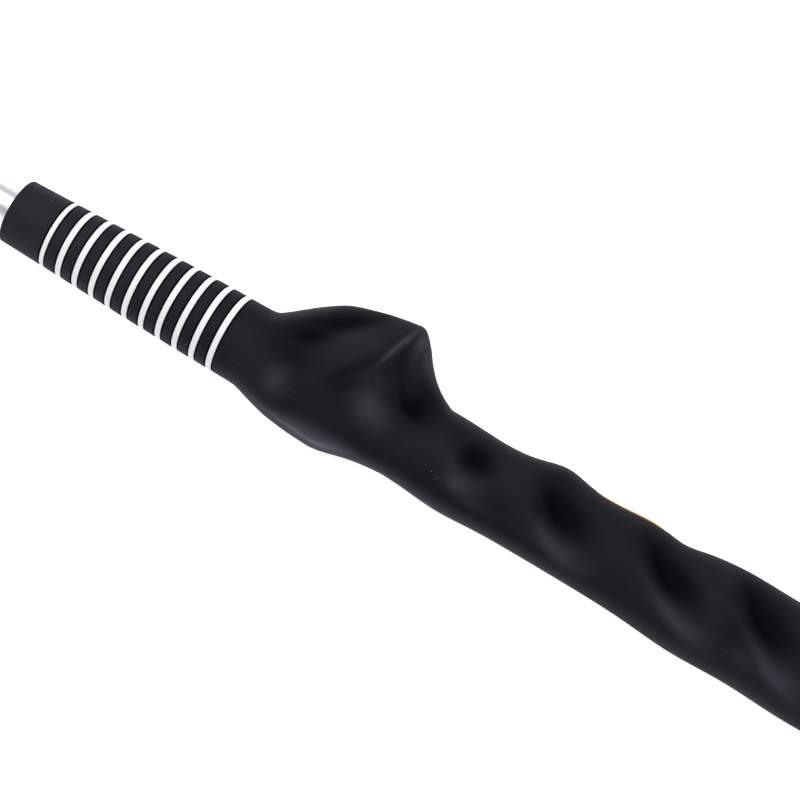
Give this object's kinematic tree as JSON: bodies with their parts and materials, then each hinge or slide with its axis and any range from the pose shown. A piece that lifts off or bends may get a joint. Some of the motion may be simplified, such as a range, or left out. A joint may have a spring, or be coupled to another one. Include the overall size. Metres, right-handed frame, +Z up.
{
  "type": "swing trainer stick",
  "caption": "Short golf swing trainer: moulded rubber training grip with a thumb flange and white ring lines, bright steel shaft, ferrule and rubber-sleeved weighted head.",
  "frame": {"origin": "centre of the bounding box's base; the stick lies on it, on its head and on the bulb of its grip", "axes": "+X from the butt of the grip to the weighted head; +Z up; the thumb flange points to -Y and 15 degrees up"},
  "size_m": [0.62, 0.045, 0.0358],
  "materials": {
    "grip_rubber": "matte moulded black rubber with a fine grain and a low sheen",
    "white_filling": "satin white filling",
    "orange_filling": "satin orange filling",
    "cap_rubber": "satin black hard rubber",
    "tape": "matte masking tape",
    "bright_steel": "bright plated steel",
    "ferrule_plastic": "gloss black",
    "head_rubber": "matte black rubber",
    "dark_steel": "plain machined steel",
    "zinc_plate": "zinc plated"
  },
  "bodies": {
    "root": {"grip_body": "grip_rubber", "ring_line_01": "white_filling", "ring_line_02": "white_filling", "ring_line_03": "white_filling", "ring_line_04": "white_filling", "ring_line_05": "white_filling", "ring_line_06": "white_filling", "ring_line_07": "white_filling", "ring_line_08": "white_filling", "ring_line_09": "white_filling", "ring_line_10": "white_filling", "ring_line_11": "white_filling", "chevron_mark": "white_filling", "side_mark": "orange_filling", "butt_cap": "cap_rubber", "grip_tape": "tape", "shaft": "bright_steel", "ferrule": "ferrule_plastic", "head_sleeve": "head_rubber", "head_core": "dark_steel", "tip_insert": "dark_steel", "head_screw": "zinc_plate", "lock_washer": "zinc_plate", "head_end_plug": "cap_rubber"}
  },
  "joints": []
}
